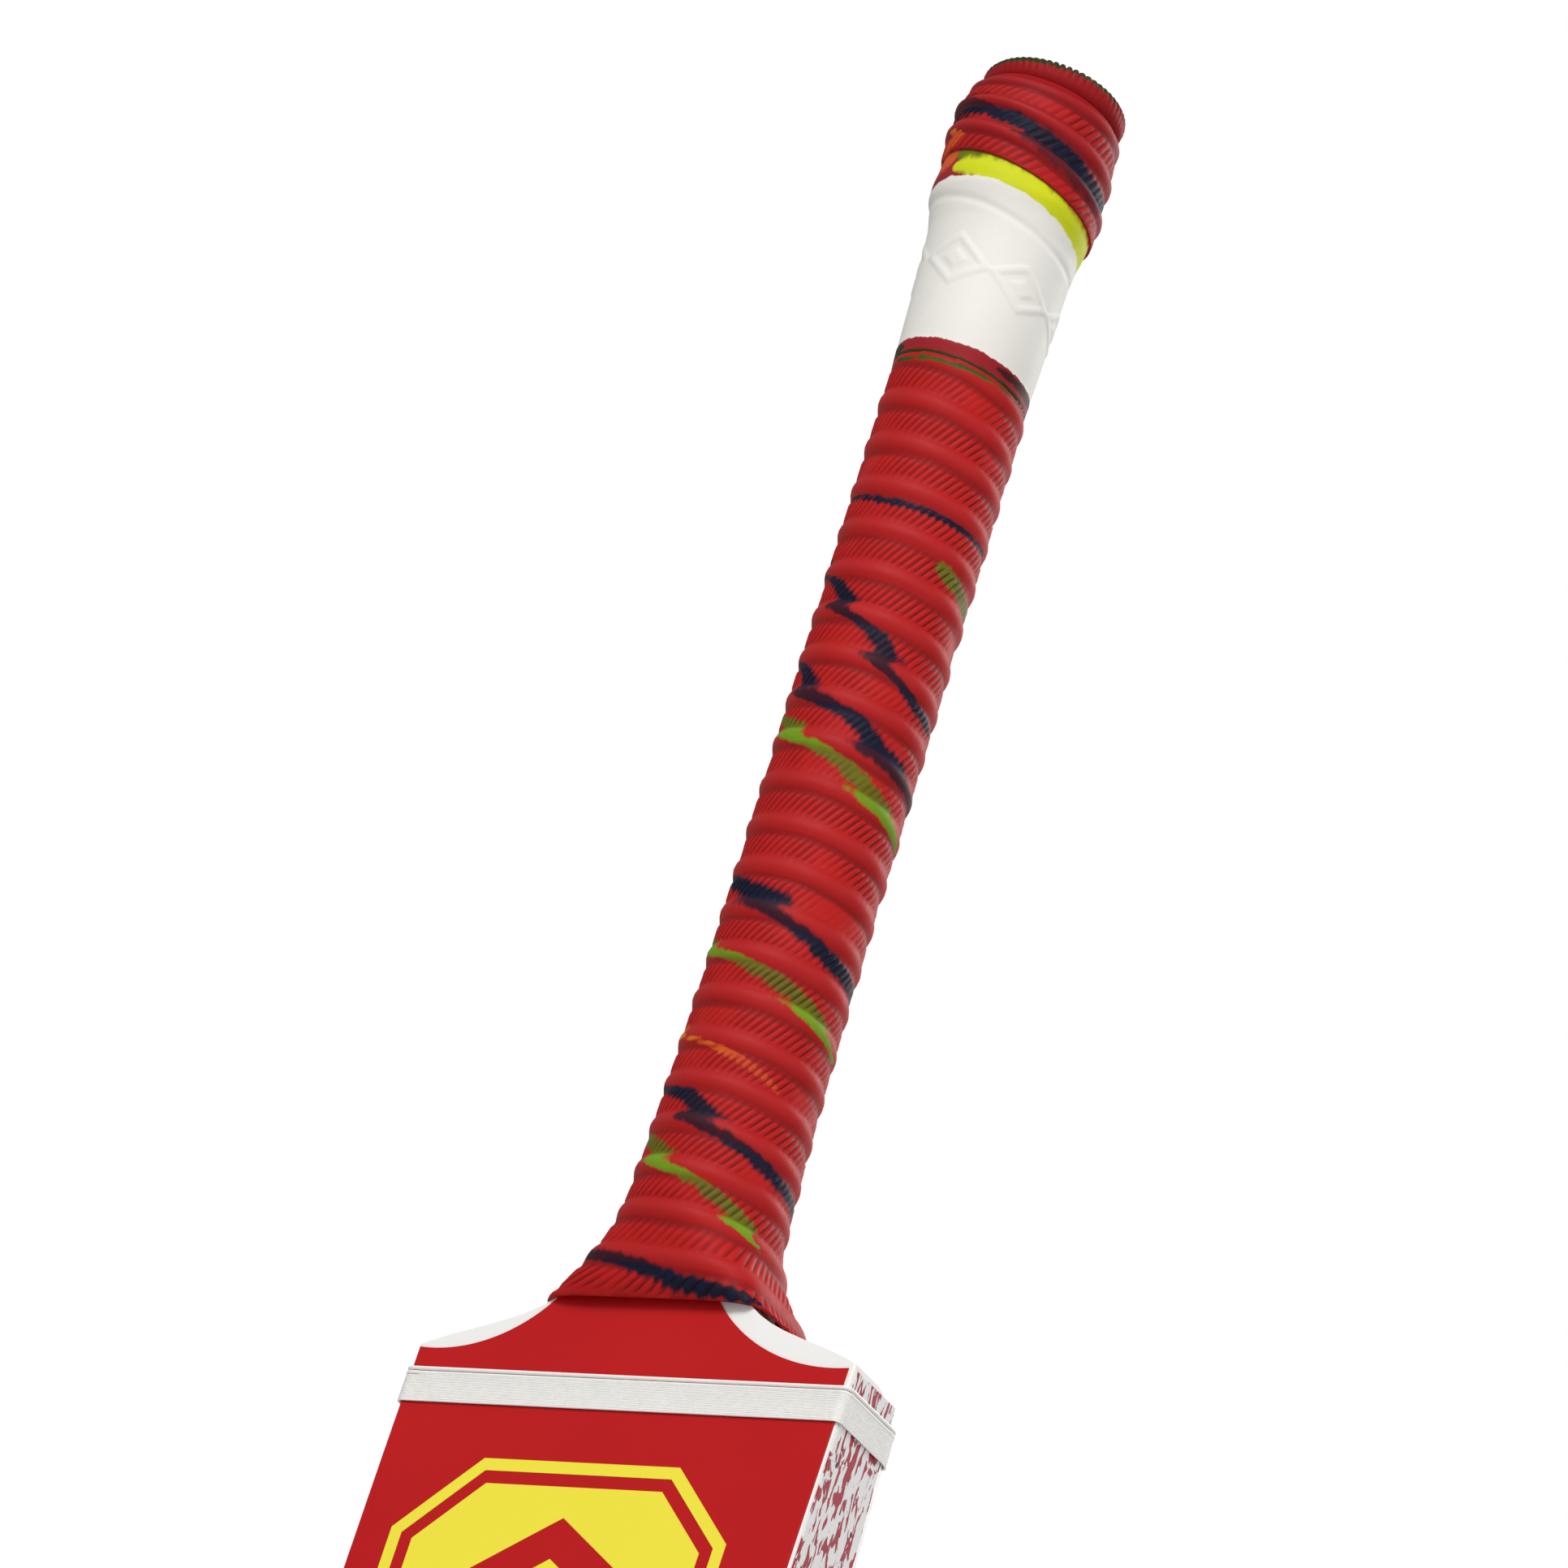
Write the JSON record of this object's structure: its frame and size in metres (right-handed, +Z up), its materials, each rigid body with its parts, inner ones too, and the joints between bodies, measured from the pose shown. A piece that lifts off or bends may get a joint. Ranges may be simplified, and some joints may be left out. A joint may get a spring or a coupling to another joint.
{
  "type": "cricket bat",
  "caption": "Full-size cricket bat: willow blade with bowed face and swelling edges, spliced cane handle, ribbed rubber grip, thread binding, vinyl labels and rubber toe guard.",
  "frame": {"origin": "middle of the underside of the toe guard, on the handle's axis", "axes": "+Z up along the handle, +X to the right of someone facing the playing face, playing face towards -Y"},
  "size_m": [0.1092, 0.0623, 0.85],
  "materials": {
    "willow": "planed and polished willow, shoulders painted white",
    "cane": "straight grained cane, sanded",
    "toe_rubber": "moulded black rubber",
    "spring_rubber": "cut rubber sheet",
    "twine": "waxed flax twine, close wound",
    "grip_rubber": "moulded latex, ribbed, marbled red with navy and green",
    "thread": "white nylon thread, layered and glued",
    "face_vinyl": "red printed vinyl, satin gloss",
    "back_vinyl": "white printed vinyl with crimson streaks",
    "edge_vinyl": "white printed vinyl with crimson streaks"
  },
  "bodies": {
    "root": {"blade": "willow", "toe_guard": "toe_rubber", "handle_binding": "twine", "grip": "grip_rubber", "blade_binding": "thread", "shoulder_label": "face_vinyl", "face_label": "face_vinyl", "back_label_upper": "back_vinyl", "back_label_lower": "back_vinyl", "edge_label_left": "edge_vinyl", "edge_label_right": "edge_vinyl", "cane_slip_a1": "cane", "cane_slip_a2": "cane", "cane_slip_a3": "cane", "cane_slip_b1": "cane", "cane_slip_b2": "cane", "cane_slip_b3": "cane", "cane_slip_c1": "cane", "cane_slip_c2": "cane", "cane_slip_c3": "cane", "cane_slip_d1": "cane", "cane_slip_d2": "cane", "cane_slip_d3": "cane", "rubber_spring_1": "spring_rubber", "rubber_spring_2": "spring_rubber", "rubber_spring_3": "spring_rubber"}
  },
  "joints": []
}
